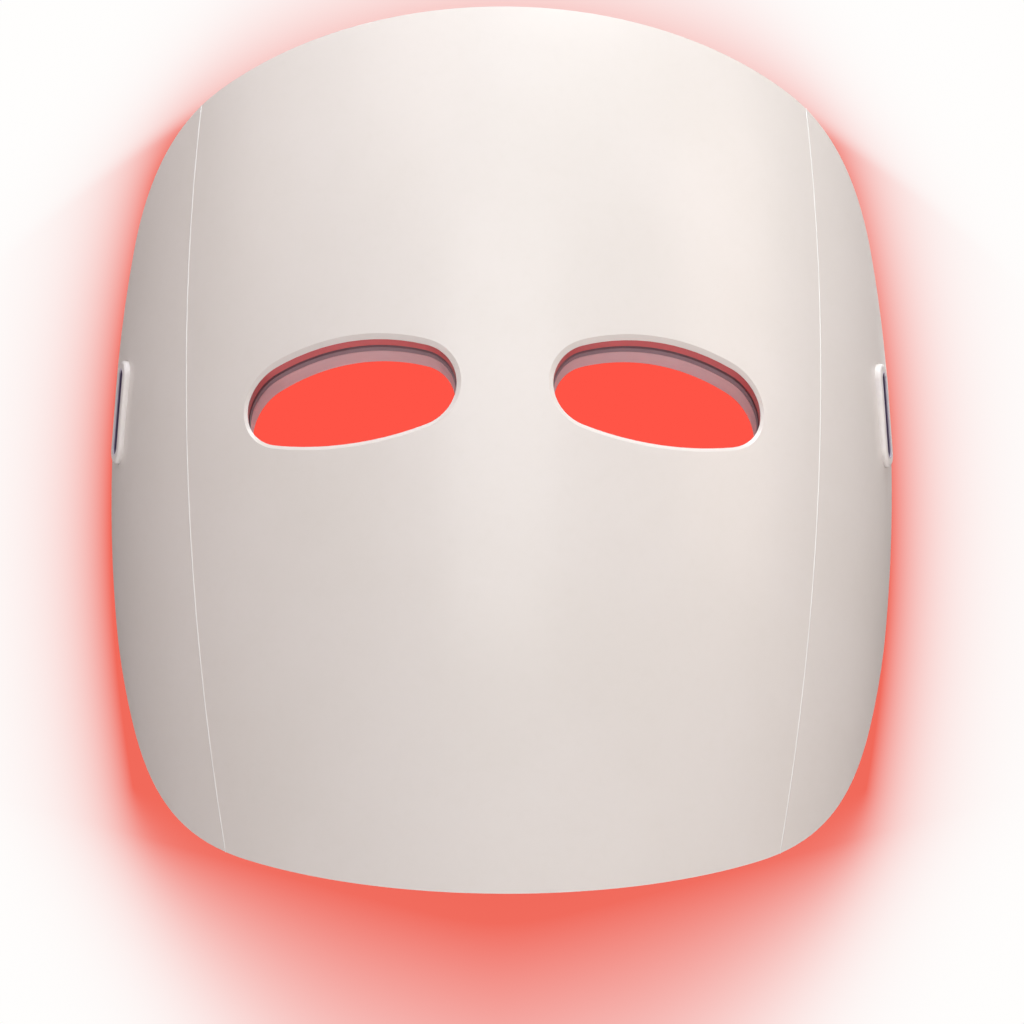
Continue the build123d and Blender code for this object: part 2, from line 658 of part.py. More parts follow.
def board_screws():
    """Every screw that holds the control board to its posts."""
    place = control_place(CONTROL_DEPTH + CONTROL_WALL)
    return [place * Pos(x, y, 0) * screw(POST_SCREW_LENGTH) for x, y in post_places()]


def eye_shield(side):
    """Soft silicone shield: a tube through the stack and a lip on the face side."""
    lip_depth = MASK_DEPTH + PAD_SEAT
    top = BEZEL_DEPTH + BEZEL_WALL + SHIELD_GAP
    tube = eye_ring(side, top, lip_depth + SHIELD_FLANGE_WALL / 2, SHIELD_OUTSET, SHIELD_INSET)
    lip = eye_ring(side, lip_depth, lip_depth + SHIELD_FLANGE_WALL, SHIELD_FLANGE_OUTSET, SHIELD_INSET)
    return tube + lip


def pad(theta, z, width, height):
    """Soft pad on the window's face side."""
    depth = MASK_DEPTH + PAD_SEAT
    outline = RectangleRounded(width, height, min(width, height) / 2 - PAD_CORNER_SHORT)
    prism = at_depth(theta, z, depth) * extrude(outline, amount=PAD_REACH, both=True)
    wall = stock(depth, depth + PAD_THICKNESS, theta - PAD_SPAN_THETA, theta + PAD_SPAN_THETA)
    return wall & prism


# --- Battery -------------------------------------------------------------------------------------------
def battery_cell():
    """Flat pouch cell behind the forehead."""
    cell = Box(BATTERY_WIDTH, BATTERY_HEIGHT, BATTERY_THICKNESS)
    cell = fillet(cell.edges().filter_by(Axis.Y), BATTERY_ROUND)
    return at_depth(0, BATTERY_Z, BATTERY_DEPTH + BATTERY_THICKNESS / 2) * cell


def battery_pad():
    """Adhesive foam between the cell and the LED board."""
    depth = BATTERY_DEPTH + BATTERY_THICKNESS + BATTERY_PAD_WALL
    outline = Rectangle(BATTERY_WIDTH - 2 * BATTERY_PAD_INSET, BATTERY_HEIGHT - 2 * BATTERY_PAD_INSET)
    return at_depth(0, BATTERY_Z, depth) * extrude(outline, amount=BATTERY_PAD_WALL)


def lead_end(z, along):
    """Height where a battery lead ends, along the seat at z by along."""
    plane = seat(0, z)
    return (plane.origin + plane.y_dir * along - plane.z_dir * LEAD_DEPTH).Z


def battery_leads():
    """Two wires from the cell down between the eyes to the control board's plug."""
    high = lead_end(BATTERY_Z, -BATTERY_HEIGHT / 2 - LEAD_GAP)
    low = lead_end(CONTROL_Z, CONTROL_HEIGHT / 2 + PLUG_HEIGHT / 2 + LEAD_GAP)
    leads = []
    for x in (-LEAD_SPACING / 2, LEAD_SPACING / 2):
        points = [(x, -skin_radius(z, LEAD_DEPTH), z) for z in (high, (high + low) / 2, low)]
        path = ThreePointArc(*points)
        leads.append(sweep(Plane(origin=path @ 0, z_dir=path % 0) * Circle(LEAD_RADIUS), path=path))
    return leads


def battery_plug():
    """Plug of the battery leads, on the control board's top edge."""
    y = CONTROL_HEIGHT / 2
    place = control_place(LEAD_DEPTH) * Pos(0, y, 0)
    return place * Box(PLUG_WIDTH, PLUG_HEIGHT, PLUG_THICKNESS)


def led_ribbon():
    """Flat cable that loops from the control board to the middle LED board."""
    low = -CONTROL_DEPTH - CONTROL_WALL - RIBBON_GAP
    back = -BOARD_DEPTH + 2 * RIBBON_GAP
    climb = RIBBON_FOOT + RIBBON_RUN
    corners = [(0, low), (RIBBON_FOOT, low), (climb, back), (climb + RIBBON_TAIL, back)]
    path = FilletPolyline(*corners, radius=RIBBON_BEND)
    section = make_face(offset(path, amount=RIBBON_WALL / 2, side=Side.BOTH).edges())
    plane = Plane(origin=(0, 0, 0), x_dir=(0, 1, 0), z_dir=(1, 0, 0))
    ribbon = extrude(plane * section, amount=RIBBON_WIDTH / 2, both=True)
    return Location(seat(0, CONTROL_Z)) * Pos(-RIBBON_X, RIBBON_Y, 0) * ribbon


def write(name, shape):
    """Writes one node, from one shape or from a list of separate solids."""
    if isinstance(shape, (list, tuple)):
        shape = Compound(children=list(shape))
    export_step(shape, f"parts/{name}.step")


def main():
    """Builds every node and writes it."""
    os.makedirs("parts", exist_ok=True)
    write("front_shell", front_shell())
    write("rim_frame", rim_frame())
    write("inner_panel", inner_panel())
    edge = SEAM_THETA - BOARD_SEAM_ANGLE
    write("led_board_center", led_board(-edge, edge))
    for side, word in ((-1, "right"), (1, "left")):
        write(f"side_cover_{word}", side_cover(side))
        write(f"seam_strip_{word}", seam_strip(side))
        write(f"strap_ring_{word}", strap_ring(side))
        board_span = sorted((side * (SEAM_THETA + BOARD_SEAM_ANGLE), side * END_THETA))
        write(f"led_board_{word}", led_board(*board_span))
        write(f"board_link_{word}", board_link(side))
        trim_top = TRIM_SEAT_DEPTH + EYE_RING_GAP
        write(f"eye_trim_{word}", eye_ring(side, trim_top, FLANGE_DEPTH, TRIM_WALL - EYE_LIP, EYE_LIP))
        bezel_end = BEZEL_DEPTH + BEZEL_WALL
        write(f"eye_bezel_{word}", eye_ring(side, BEZEL_DEPTH, bezel_end, BEZEL_OUTSET, BEZEL_INSET))
        write(f"eye_shield_{word}", eye_shield(side))
        theta, z, width, height = CHEEK_PAD
        write(f"cheek_pad_{word}", pad(side * theta, z, width, height))
    for kind in LED_KINDS:
        write(f"leds_{kind}", leds(kind))
    write("shell_screws", shell_screws())
    write("board_screws", board_screws())
    write("forehead_pad", pad(*FOREHEAD_PAD))
    write("nose_pad", pad(*NOSE_PAD))
    write("battery_cell", battery_cell())
    write("battery_pad", battery_pad())
    write("battery_leads", battery_leads())
    write("battery_plug", battery_plug())
    write("control_board", control_board())
    write("controller_chip", on_board(*CHIP_PLACE, CHIP_SIZE, CHIP_HEIGHT))
    write("inductor", on_board(*INDUCTOR_PLACE, INDUCTOR_SIZE, INDUCTOR_HEIGHT))
    buzzer = extrude(Circle(BUZZER_RADIUS), amount=BUZZER_HEIGHT)
    buzzer_place = control_place(CONTROL_DEPTH + CONTROL_WALL + BUZZER_HEIGHT) * Pos(*BUZZER_PLACE)
    write("buzzer", buzzer_place * buzzer)
    write("led_ribbon", led_ribbon())
    write("usb_c_socket", usb_socket())
    switches = []
    for x, name in ((-BUTTON_X, "mode_button"), (BUTTON_X, "power_button")):
        solid, stem_top = button(x)
        write(name, solid)
        switches.append(tact_switch(x, stem_top))
    write("tact_switches", switches)
    write("status_light_pipe", light_pipe())
    print("LEDs", len(led_places()))


main()
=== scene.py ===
import logging
import math
from dataclasses import dataclass, field
from enum import Enum
from typing import Callable, Iterable, Union

import bmesh
import bpy
from mathutils import Matrix, Vector


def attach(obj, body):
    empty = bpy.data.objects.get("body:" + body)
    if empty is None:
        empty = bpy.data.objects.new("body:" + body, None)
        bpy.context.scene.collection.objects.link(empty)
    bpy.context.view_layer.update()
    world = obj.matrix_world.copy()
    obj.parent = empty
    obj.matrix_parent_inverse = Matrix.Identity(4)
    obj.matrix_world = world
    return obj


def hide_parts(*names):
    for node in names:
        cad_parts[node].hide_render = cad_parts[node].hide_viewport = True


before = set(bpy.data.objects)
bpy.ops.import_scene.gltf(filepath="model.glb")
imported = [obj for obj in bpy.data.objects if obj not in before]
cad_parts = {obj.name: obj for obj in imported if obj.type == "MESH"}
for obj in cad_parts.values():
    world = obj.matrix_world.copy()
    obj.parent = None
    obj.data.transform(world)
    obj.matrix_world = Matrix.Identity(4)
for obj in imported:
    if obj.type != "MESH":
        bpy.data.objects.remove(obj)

log = logging.getLogger("led_face_mask")

MM = 0.001
BODY = "mask"
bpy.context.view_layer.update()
NODES: dict[str, bpy.types.Object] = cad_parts
Colour = tuple[float, float, float]
Number = Union[float, "Wave"]


class Side(Enum):
    """The wearer's two sides. The value is the sign of x there."""

    LEFT = 1
    RIGHT = -1

    @property
    def word(self) -> str:
        """The side's word in names."""
        return self.name.lower()


class LedKind(Enum):
    """The kinds of LED. The value is the word in names."""

    RED = "red"
    INFRARED = "infrared"
    BLUE = "blue"


def mm(*values: float) -> Vector:
    """Point or size given in millimetres, in metres."""
    return Vector(values) * MM


# --- The mask's surface --------------------------------------------------------------------------------
@dataclass(frozen=True)
class Barrel:
    """The curved skin: an upright arc turned about the upright axis.

    Attributes:
        half_width: level radius at the widest height, in millimetres.
        bulge: radius of the upright arc, in millimetres.
        widest: height of the widest section, in millimetres.
    """

    half_width: float = 95.0
    bulge: float = 549.0
    widest: float = 35.6

    def radius(self, z: float, depth: float = 0.0) -> float:
        """Level radius at a height and a depth under the skin.

        Args:
            z: height in millimetres.
            depth: depth under the skin in millimetres.

        Returns:
            The radius in millimetres.
        """
        reach = math.sqrt((self.bulge - depth) ** 2 - (z - self.widest) ** 2)
        return self.half_width - self.bulge + reach

    def seat(self, theta: float, z: float, depth: float = 0.0) -> Matrix:
        """Placement on the skin whose x goes round, whose y goes up and whose z points out.

        Args:
            theta: degrees round from the front, positive to the wearer's left.
            z: height in millimetres.
            depth: depth under the skin in millimetres.

        Returns:
            The placement in metres.
        """
        turn = math.radians(theta)
        lean = math.asin((z - self.widest) / self.bulge)
        out = Vector((math.cos(lean) * math.sin(turn), -math.cos(lean) * math.cos(turn), math.sin(lean)))
        around = Vector((math.cos(turn), math.sin(turn), 0.0))
        skin = mm(self.radius(z) * math.sin(turn), -self.radius(z) * math.cos(turn), z)
        basis = Matrix((around, out.cross(around), out)).transposed().to_4x4()
        return Matrix.Translation(skin - out * depth * MM) @ basis

    def seat_at(self, point: Vector) -> Matrix:
        """Placement at a point inside the skin, turned as the skin is there.

        Args:
            point: the point in metres.

        Returns:
            The placement in metres.
        """
        theta = math.degrees(math.atan2(point.x, -point.y))
        turned = self.seat(theta, point.z / MM)
        return Matrix.Translation(point) @ turned.to_3x3().to_4x4()


BARREL = Barrel()


# --- Shader graphs -------------------------------------------------------------------------------------
class Wave:
    """A number socket of a shader graph that takes part in Python arithmetic."""

    def __init__(self, graph: "Graph", socket: bpy.types.NodeSocket) -> None:
        """Keeps the socket and the graph that it is in."""
        self.graph = graph
        self.socket = socket

    def math(self, operation: str, *others: Number, clamp: bool = False) -> "Wave":
        """One Math node with this socket first.

        Args:
            operation: the Math node's operation.
            others: the other operands.
            clamp: whether the result is held between 0 and 1.

        Returns:
            The node's result.
        """
        return self.graph.maths(operation, self, *others, clamp=clamp)

    def __add__(self, other: Number) -> "Wave":
        """Sum."""
        return self.math("ADD", other)

    __radd__ = __add__

    def __sub__(self, other: Number) -> "Wave":
        """Difference."""
        return self.math("SUBTRACT", other)

    def __rsub__(self, other: Number) -> "Wave":
        """Difference from a number."""
        return self.graph.maths("SUBTRACT", other, self)

    def __mul__(self, other: Number) -> "Wave":
        """Product."""
        return self.math("MULTIPLY", other)

    __rmul__ = __mul__

    def __truediv__(self, other: Number) -> "Wave":
        """Quotient."""
        return self.math("DIVIDE", other)

    def __pow__(self, other: Number) -> "Wave":
        """Power."""
        return self.math("POWER", other)

    def __abs__(self) -> "Wave":
        """Size without its sign."""
        return self.math("ABSOLUTE")

    def step(self, low: float, high: float) -> "Wave":
        """Smooth step between two values.

        Args:
            low: where the result is 0.
            high: where the result is 1.

        Returns:
            The step, from 0 to 1.
        """
        settings = {"interpolation_type": "SMOOTHSTEP"}
        inputs = {"Value": self, "From Min": low, "From Max": high, "To Min": 0.0, "To Max": 1.0}
        ramp = self.graph.node("ShaderNodeMapRange", settings, inputs)
        return Wave(self.graph, ramp.outputs["Result"])


class Graph:
    """A material's node graph round one Principled shader."""

    def __init__(self, name: str) -> None:
        """Starts a material.

        Args:
            name: the material's name.
        """
        self.material = bpy.data.materials.new(name)
        self.material.use_nodes = True
        self.tree = self.material.node_tree
        self.shader = self.tree.nodes["Principled BSDF"]
        self.output = self.tree.nodes["Material Output"]

    def node(
        self, kind: str, settings: dict | None = None, inputs: dict | None = None
    ) -> bpy.types.Node:
        """Adds a node.

        Args:
            kind: the node's type.
            settings: its properties, set before its sockets.
            inputs: values or links, by socket name or index.

        Returns:
            The node.
        """
        made = self.tree.nodes.new(kind)
        for key, value in (settings or {}).items():
            setattr(made, key, value)
        for key, value in (inputs or {}).items():
            self.feed(made.inputs[key], value)
        return made

    def feed(self, socket: bpy.types.NodeSocket, value: object) -> None:
        """Links or sets one input socket.

        Args:
            socket: the socket.
            value: a number, a colour, a Wave or another socket.
        """
        if isinstance(value, Wave):
            self.tree.links.new(value.socket, socket)
        elif isinstance(value, bpy.types.NodeSocket):
            self.tree.links.new(value, socket)
        elif isinstance(value, tuple) and len(value) == 3 and socket.type == "RGBA":
            socket.default_value = (*value, 1.0)
        else:
            socket.default_value = value

    def maths(self, operation: str, *operands: Number, clamp: bool = False) -> Wave:
        """Adds a Math node.

        Args:
            operation: the node's operation.
            operands: its operands in order.
            clamp: whether the result is held between 0 and 1.

        Returns:
            The node's result.
        """
        settings = {"operation": operation, "use_clamp": clamp}
        made = self.node("ShaderNodeMath", settings, dict(enumerate(operands)))
        return Wave(self, made.outputs[0])

    def place(self) -> bpy.types.NodeSocket:
        """Object coordinates, which are the row's own metres."""
        return self.node("ShaderNodeTexCoord").outputs["Object"]

    def split(self) -> tuple[Wave, Wave, Wave]:
        """Takes the Object coordinates apart.

        Returns:
            Their x, y and z in millimetres.
        """
        parts = self.node("ShaderNodeSeparateXYZ", None, {0: self.place()})
        x, y, z = (Wave(self, parts.outputs[name]) / MM for name in "XYZ")
        return x, y, z

    def noise(self, size: float, detail: float = 3.0, roughness: float = 0.55) -> Wave:
        """Noise whose lumps are about that many millimetres wide.

        Args:
            size: the lumps' width in millimetres.
            detail: how many finer layers there are.
            roughness: how strong the finer layers are.

        Returns:
            The noise, from 0 to 1.
        """
        inputs = {
            "Vector": self.place(),
            "Scale": 1.0 / (size * MM),
            "Detail": detail,
            "Roughness": roughness,
        }
        return Wave(self, self.node("ShaderNodeTexNoise", None, inputs).outputs["Fac"])

    def mix(self, factor: Number, low: object, high: object) -> bpy.types.NodeSocket:
        """Colour between low and high.

        Args:
            factor: 0 gives low and 1 gives high.
            low: a colour or a colour socket.
            high: a colour or a colour socket.

        Returns:
            The mixed colour.
        """
        made = self.node("ShaderNodeMix", {"data_type": "RGBA"}, {0: factor})
        self.feed(made.inputs[6], low)
        self.feed(made.inputs[7], high)
        return made.outputs[2]

    def bump(self, height: Wave, depth: float) -> None:
        """Feeds a bump of that depth in millimetres to the shader's normal."""
        inputs = {"Height": height, "Strength": 1.0, "Distance": depth * MM}
        self.set("Normal", self.node("ShaderNodeBump", None, inputs).outputs["Normal"])

    def set(self, socket: str, value: object) -> None:
        """Sets or links one socket of the Principled shader."""
        self.feed(self.shader.inputs[socket], value)


def linear(red: int, green: int, blue: int) -> Colour:
    """Scene colour of a display colour.

    Args:
        red: red, from 0 to 255.
        green: green, from 0 to 255.
        blue: blue, from 0 to 255.

    Returns:
        The colour in the scene's linear values.
    """
    def one(level: float) -> float:
        """One channel."""
        return level / 12.92 if level <= 0.04045 else ((level + 0.055) / 1.055) ** 2.4
    return (one(red / 255), one(green / 255), one(blue / 255))


# --- Finishes ------------------------------------------------------------------------------------------
@dataclass(frozen=True)
class Moulded:
    """Moulded plastic: a faint tonal drift, a fine skin and a slightly uneven gloss.

    Attributes:
        name: the material's name.
        colour: main colour.
        shade: colour that the drift leans to.
        roughness: mean roughness.
        coat: clear coat weight.
        grain: width of the skin's grain in millimetres.
        relief: depth of the grain in millimetres.
        soft: subsurface weight.
        drift: width of the tonal drift in millimetres.
        fleck: width of the finer flecks in millimetres.
    """

    name: str
    colour: Colour
    shade: Colour
    roughness: float = 0.35
    coat: float = 0.0
    grain: float = 0.35
    relief: float = 0.004
    soft: float = 0.0
    drift: float = 38.0
    fleck: float = 2.4

    def make(self) -> bpy.types.Material:
        """Builds the material.

        Returns:
            The material.
        """
        g = Graph(self.name)
        drift = g.noise(self.drift, 2.0).step(0.35, 0.7)
        fleck = g.noise(self.fleck, 4.0).step(0.45, 0.75)
        g.set("Base Color", g.mix(drift * 0.7 + fleck * 0.3, self.colour, self.shade))
        g.set("Roughness", g.noise(9.0, 4.0) * 0.10 + (self.roughness - 0.05))
        g.bump(g.noise(self.grain, 2.0), self.relief)
        g.set("Coat Weight", self.coat)
        g.set("Coat Roughness", 0.12)
        if self.soft:
            g.set("Subsurface Weight", self.soft)
            g.set("Subsurface Radius", (1.0, 0.6, 0.5))
            g.set("Subsurface Scale", 1.5 * MM)
        return g.material


@dataclass(frozen=True)
class Metal:
    """Plated or foil metal with fine streaks.

    Attributes:
        name: the material's name.
        colour: main colour.
        roughness: mean roughness.
        streak: width of the streaks in millimetres.
    """

    name: str
    colour: Colour
    roughness: float = 0.3
    streak: float = 0.5

    def make(self) -> bpy.types.Material:
        """Builds the material.

        Returns:
            The material.
        """
        g = Graph(self.name)
        dull = tuple(channel * 0.8 for channel in self.colour)
        g.set("Base Color", g.mix(g.noise(4.0, 3.0).step(0.4, 0.7), self.colour, dull))
        g.set("Metallic", 1.0)
        g.set("Roughness", g.noise(self.streak, 3.0) * 0.15 + (self.roughness - 0.07))
        g.bump(g.noise(self.streak, 2.0), 0.01)
        return g.material


@dataclass(frozen=True)
class Clear:
    """Clear window or rod: see-through face on, glossy at a glance.

    Attributes:
        name: the material's name.
        tint: colour of the film.
        veil: how much of the view a square look loses.
    """

    name: str
    tint: Colour
    veil: float = 0.06

    def make(self) -> bpy.types.Material:
        """Builds the material.

        Returns:
            The material.
        """
        g = Graph(self.name)
        facing = Wave(g, g.node("ShaderNodeLayerWeight", None, {"Blend": 0.35}).outputs["Fresnel"])
        smear = g.noise(16.0, 4.0).step(0.45, 0.8) * 0.03
        g.set("Base Color", self.tint)
        g.set("Roughness", g.noise(12.0, 3.0) * 0.06 + 0.03)
        g.set("Alpha", facing * 0.55 + smear + self.veil)
        return g.material


@dataclass(frozen=True)
class Lens:
    """LED package: a pale body with a tinted dome that may be lit.

    Attributes:
        name: the material's name.
        dome: colour of the dome.
        glow: colour of its light.
        strength: how brightly it is lit.
    """

    name: str
    dome: Colour
    glow: Colour
    strength: float

    def make(self) -> bpy.types.Material:
        """Builds the material.

        Returns:
            The material.
        """
        g = Graph(self.name)
        cloud = g.noise(0.8, 2.0).step(0.3, 0.7)
        g.set("Base Color", g.mix(cloud * 0.25, self.dome, (0.9, 0.88, 0.84)))
        g.set("Roughness", g.noise(1.2, 2.0) * 0.1 + 0.12)
        g.set("Emission Color", g.mix(cloud * 0.3, self.glow, (1.0, 0.45, 0.30)))
        g.set("Emission Strength", self.strength)
        return g.material


@dataclass(frozen=True)
class Circuit:
    """Solder mask over copper: tracks between the LEDs, and a fine skin.

    Attributes:
        name: the material's name.
        mask: colour of the solder mask.
        track: colour of the mask over copper.
        pitch_theta: degrees between columns of LEDs.
        pitch_z: millimetres between rows of LEDs.
        low_z: height of the lowest row in millimetres.
    """

    name: str
    mask: Colour
    track: Colour
    pitch_theta: float = 9.0
    pitch_z: float = 13.5
    low_z: float = -94.5

    def make(self) -> bpy.types.Material:
        """Builds the material.

        Returns:
            The material.
        """
        g = Graph(self.name)
        x, y, z = g.split()
        around = g.maths("ARCTAN2", x, 0.0 - y) * (180.0 / math.pi)
        column = self.near(around, self.pitch_theta, 0.0)
        row = self.near(z, self.pitch_z, self.low_z)
        bus = column.step(0.44, 0.30) * column.step(0.16, 0.22)
        feed = row.step(0.9, 0.6)
        copper = bus.math("MAXIMUM", feed)
        g.set("Base Color", g.mix(copper * 0.8, self.mask, self.track))
        g.set("Roughness", g.noise(3.0, 3.0) * 0.1 + 0.38)
        g.bump(copper, 0.03)
        return g.material

    @staticmethod
    def near(value: Wave, pitch: float, start: float) -> Wave:
        """Distance from value to the nearest multiple of pitch counted from start."""
        cycle = (value - start) / pitch + 0.5
        return abs(cycle.math("FLOORED_MODULO", 1.0) - 0.5) * pitch


# --- Meshes --------------------------------------------------------------------------------------------
def finish_mesh(
    name: str, bm: bmesh.types.BMesh, material: bpy.types.Material
) -> bpy.types.Object:
    """Turns a bmesh into a piece that rides on the mask.

    Args:
        name: the piece's name.
        bm: its mesh, which is freed.
        material: its material.

    Returns:
        The piece.
    """
    bmesh.ops.recalc_face_normals(bm, faces=bm.faces)
    mesh = bpy.data.meshes.new(name)
    bm.to_mesh(mesh)
    bm.free()
    mesh.materials.append(material)
    for polygon in mesh.polygons:
        polygon.use_smooth = True
    piece = bpy.data.objects.new(name, mesh)
    bpy.context.scene.collection.objects.link(piece)
    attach(piece, BODY)
    log.info("%s: %d faces", name, len(mesh.polygons))
    return piece


def merged(node: str) -> bmesh.types.BMesh:
    """Copy of a CAD node's mesh with its loose triangles joined.

    Args:
        node: the node's name.

    Returns:
        The joined mesh.
    """
    bm = bmesh.new()
    bm.from_mesh(NODES[node].data)
    bmesh.ops.remove_doubles(bm, verts=bm.verts, dist=0.01 * MM)
    return bm


def island_centres(node: str) -> list[Vector]:
    """Centre of each separate solid of a CAD node.

    Args:
        node: the node's name.

    Returns:
        One point in metres for each solid.
    """
    bm = merged(node)
    centres: list[Vector] = []
    seen: set[bmesh.types.BMVert] = set()
    for start in bm.verts:
        if start in seen:
            continue
        seen.add(start)
        island = [start]
        for vert in island:
            for edge in vert.link_edges:
                other = edge.other_vert(vert)
                if other not in seen:
                    seen.add(other)
                    island.append(other)
        low = Vector(min(v.co[axis] for v in island) for axis in range(3))
        high = Vector(max(v.co[axis] for v in island) for axis in range(3))
        centres.append((low + high) / 2)
    bm.free()
    return centres


def repeat(shape: Callable[[], bmesh.types.BMesh], places: Iterable[Matrix]) -> bmesh.types.BMesh:
    """One mesh that holds a shape at every place.

    Args:
        shape: makes the shape at the origin.
        places: where the copies go.

    Returns:
        The joined mesh.
    """
    one = bpy.data.meshes.new("pattern")
    pattern = shape()
    pattern.to_mesh(one)
    pattern.free()
    joined = bmesh.new()
    for place in places:
        before = len(joined.verts)
        joined.from_mesh(one)
        joined.verts.ensure_lookup_table()
        bmesh.ops.transform(joined, matrix=place, verts=joined.verts[before:])
    bpy.data.meshes.remove(one)
    return joined


def spun_ring(profile: list[tuple[float, float]], steps: int) -> bmesh.types.BMesh:
    """Ring about z from a closed profile of (radius, height) in millimetres.

    Args:
        profile: the profile's corners in order.
        steps: how many steps the turn has.

    Returns:
        The ring's mesh.
    """
    bm = bmesh.new()
    verts = [bm.verts.new(mm(radius, 0.0, height)) for radius, height in profile]
    edges = [bm.edges.new((a, b)) for a, b in zip(verts, verts[1:] + verts[:1])]
    bmesh.ops.spin(bm, geom=verts + edges, cent=(0, 0, 0), axis=(0, 0, 1), angle=2 * math.pi,
                   steps=steps, use_merge=True)
    bmesh.ops.remove_doubles(bm, verts=bm.verts, dist=0.005 * MM)
    return bm


def dress(material: bpy.types.Material, *nodes: str) -> None:
    """Gives CAD nodes their material.

    Args:
        material: the material.
        nodes: the nodes' names.
    """
    for node in nodes:
        NODES[node].data.materials.clear()
        NODES[node].data.materials.append(material)
        log.info("%s: %s", node, material.name)


def pair(stem: str) -> tuple[str, ...]:
    """The left and the right node of a stem."""
    return tuple(f"{stem}_{side.word}" for side in Side)


# --- Sub-assemblies ------------------------------------------------------------------------------------
@dataclass
class Covers:
    """Front shell, side covers, rim frame, joining strips and the beads in the seams, whose whiter colour
    is a painted highlight of the covers' edges.

    Attributes:
        shell: finish of the skin.
        rim: finish of the rim frame.
        strip: finish of the strips behind the seams.
        bead: finish of the beads, whiter than the shell as a painted highlight.
        seam_theta: degrees round to a seam.
        seam_reach: degrees from the seam that its edge's points may lie.
        bead_half_width: half a bead's width in millimetres.
        bead_depth: how far a bead goes in, in millimetres.
        bead_proud: how far a bead stands proud, in millimetres.
        bead_steps: how many steps a bead's arc has.
    """

    shell: Moulded = Moulded("warm_white_shell", linear(240, 234, 229), linear(237, 231, 225),
                             roughness=0.36, coat=0.15, grain=0.5, relief=0.003)
    rim: Moulded = Moulded("warm_white_rim", linear(236, 229, 224), linear(226, 219, 214),
                           roughness=0.32, coat=0.1, grain=0.6, relief=0.003)
    strip: Moulded = Moulded("grey_strip", linear(176, 168, 166), linear(160, 152, 150), roughness=0.5)
    # Whiter than the shell: a painted highlight along the seams.
    bead: Moulded = Moulded("white_bead", linear(255, 253, 250), linear(250, 248, 246),
                            roughness=0.25, coat=0.3)
    seam_theta: float = 49.2
    seam_reach: float = 0.2
    bead_half_width: float = 0.13
    bead_depth: float = 0.7
    bead_proud: float = 0.1
    bead_steps: int = 72

    def build(self) -> None:
        """Dresses the covers and builds the beads."""
        dress(self.shell.make(), "front_shell", *pair("side_cover"))
        dress(self.rim.make(), "rim_frame")
        dress(self.strip.make(), *pair("seam_strip"))
        finish = self.bead.make()
        for side in Side:
            finish_mesh(f"seam_bead_{side.word}", self.seam_bead(side), finish)

    def seam_ends(self) -> tuple[float, float]:
        """Ends of the front shell's edge at the seam.

        Returns:
            The lowest and the highest height in millimetres.
        """
        heights = []
        for vert in NODES["front_shell"].data.vertices:
            theta = math.degrees(math.atan2(vert.co.x, -vert.co.y))
            if abs(theta - self.seam_theta) < self.seam_reach:
                heights.append(vert.co.z / MM)
        return min(heights), max(heights)

    def seam_bead(self, side: Side) -> bmesh.types.BMesh:
        """Thin bead that fills a seam from end to end. Its slight rise catches real light, and its whiter
        finish is a painted highlight.

        Args:
            side: the seam's side.

        Returns:
            The bead's mesh.
        """
        low, high = self.seam_ends()
        lean = [math.asin((z - BARREL.widest) / BARREL.bulge) for z in (low, high)]
        start = BARREL.seat(side.value * self.seam_theta, low)
        half, proud, depth = self.bead_half_width, self.bead_proud, self.bead_depth
        profile = [(-half, -depth), (-half, proud / 2), (0.0, proud), (half, proud / 2), (half, -depth)]
        bm = bmesh.new()
        verts = [bm.verts.new(start @ mm(x, 0.0, z)) for x, z in profile]
        bm.faces.new(verts)
        seat = BARREL.seat(side.value * self.seam_theta, BARREL.widest)
        centre = seat @ mm(0.0, 0.0, -BARREL.bulge)
        across = seat.to_3x3() @ Vector((1.0, 0.0, 0.0))
        bmesh.ops.spin(bm, geom=bm.faces[:] + bm.edges[:] + bm.verts[:], cent=centre, axis=across,
                       angle=lean[0] - lean[1], steps=self.bead_steps, use_merge=False)
        return bm


@dataclass
class EyeOpenings:
    """The layers that line each eye opening.

    Attributes:
        trim: finish of the outer ring, whose red is painted light of the LEDs.
        bezel: finish of the middle ring, whose mauve grey is painted shade.
        shield: finish of the soft sleeve.
    """

    # The trim's red stands in for the LEDs' light on the ring: painted light.
    trim: Moulded = Moulded("rose_trim", linear(228, 74, 78), linear(212, 60, 66),
                            roughness=0.3, coat=0.3, grain=0.8)
    # The bezel's mauve grey is painted shade deep in the eye opening.
    bezel: Moulded = Moulded("mauve_grey_bezel", linear(160, 132, 140), linear(146, 116, 126),
                             roughness=0.5)
    shield: Moulded = Moulded("mauve_silicone", linear(238, 198, 202), linear(228, 186, 192),
                              roughness=0.55, grain=0.9, relief=0.006)

    def build(self) -> None:
        """Dresses the rings."""
        dress(self.trim.make(), *pair("eye_trim"))
        dress(self.bezel.make(), *pair("eye_bezel"))
        dress(self.shield.make(), *pair("eye_shield"))


